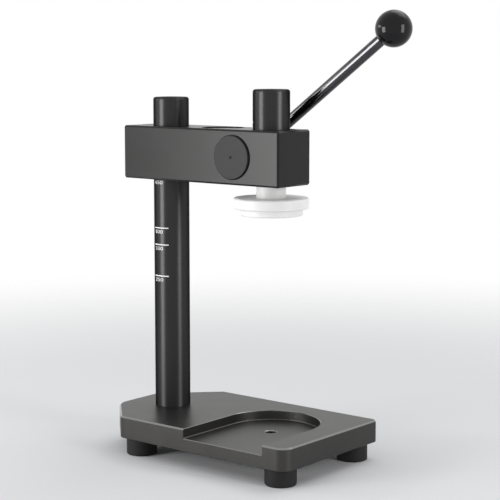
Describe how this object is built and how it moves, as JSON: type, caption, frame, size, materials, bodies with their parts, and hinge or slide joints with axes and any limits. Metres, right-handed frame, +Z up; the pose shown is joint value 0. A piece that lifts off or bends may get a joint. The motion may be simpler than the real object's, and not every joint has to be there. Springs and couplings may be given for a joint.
{
  "type": "can seamer",
  "caption": "Hand-lever bench press that seals a lid on a can: base with open can pocket, round column, sliding head, rack-and-pinion ram, plastic press head.",
  "frame": {"origin": "where the ram axis meets the floor of the can pocket, on the axis of the fixture hole", "axes": "+Z up along the ram, +X from the column towards the ram, -Y to the front where the pocket is open"},
  "size_m": [0.2546, 0.125, 0.3654],
  "materials": {
    "black_anodised": "black anodised, satin",
    "black_steel": "black oxide, polished smooth",
    "steel": "machined",
    "dark_screw": "black oxide",
    "chromed": "bright plated",
    "bronze": "turned bearing bronze",
    "white_plastic": "turned white plastic",
    "black_plastic": "gloss moulded",
    "rubber": "moulded, matte"
  },
  "bodies": {
    "base": {"base_plate": "black_anodised", "foot_front_left": "rubber", "foot_front_right": "rubber", "foot_rear_left": "rubber", "foot_rear_right": "rubber", "foot_washers": "steel", "foot_screws": "steel", "column": "black_steel", "column_bolt": "dark_screw", "column_washer": "steel"},
    "head": {"head_block": "black_anodised", "clamp_screws": "dark_screw", "front_bush": "bronze", "rear_bush": "bronze", "ram_guide_screw": "dark_screw", "drag_plug": "white_plastic", "drag_screw": "dark_screw"},
    "lever": {"pinion_shaft": "steel", "pinion_cap": "black_anodised", "lever_hub": "black_anodised", "hub_key": "steel", "hub_screw": "dark_screw", "hub_washer": "steel", "lever_rod": "chromed", "rod_nut": "steel", "ball_insert": "bronze", "ball_knob": "black_plastic"},
    "ram": {"ram": "black_steel", "press_head": "white_plastic", "press_head_screw": "dark_screw", "press_head_washer": "steel"}
  },
  "joints": [
    {"name": "head_slide", "type": "slide", "parent": "base", "child": "head", "axis": [0, 0, 1], "range_m": [-0.08, 0.022]},
    {"name": "lever_turn", "type": "hinge", "parent": "head", "child": "lever", "pos_m": [-0.0235, 0, 0.22475], "axis": [0, 1, 0], "range_deg": [-9, 90]},
    {"name": "ram_slide", "type": "slide", "parent": "head", "child": "ram", "axis": [0, 0, 1], "range_m": [-0.01885, 0.0019]}
  ],
  "couplings": [
    {"joint": "ram_slide", "follows": "lever_turn", "m_per_rad": -0.012}
  ]
}
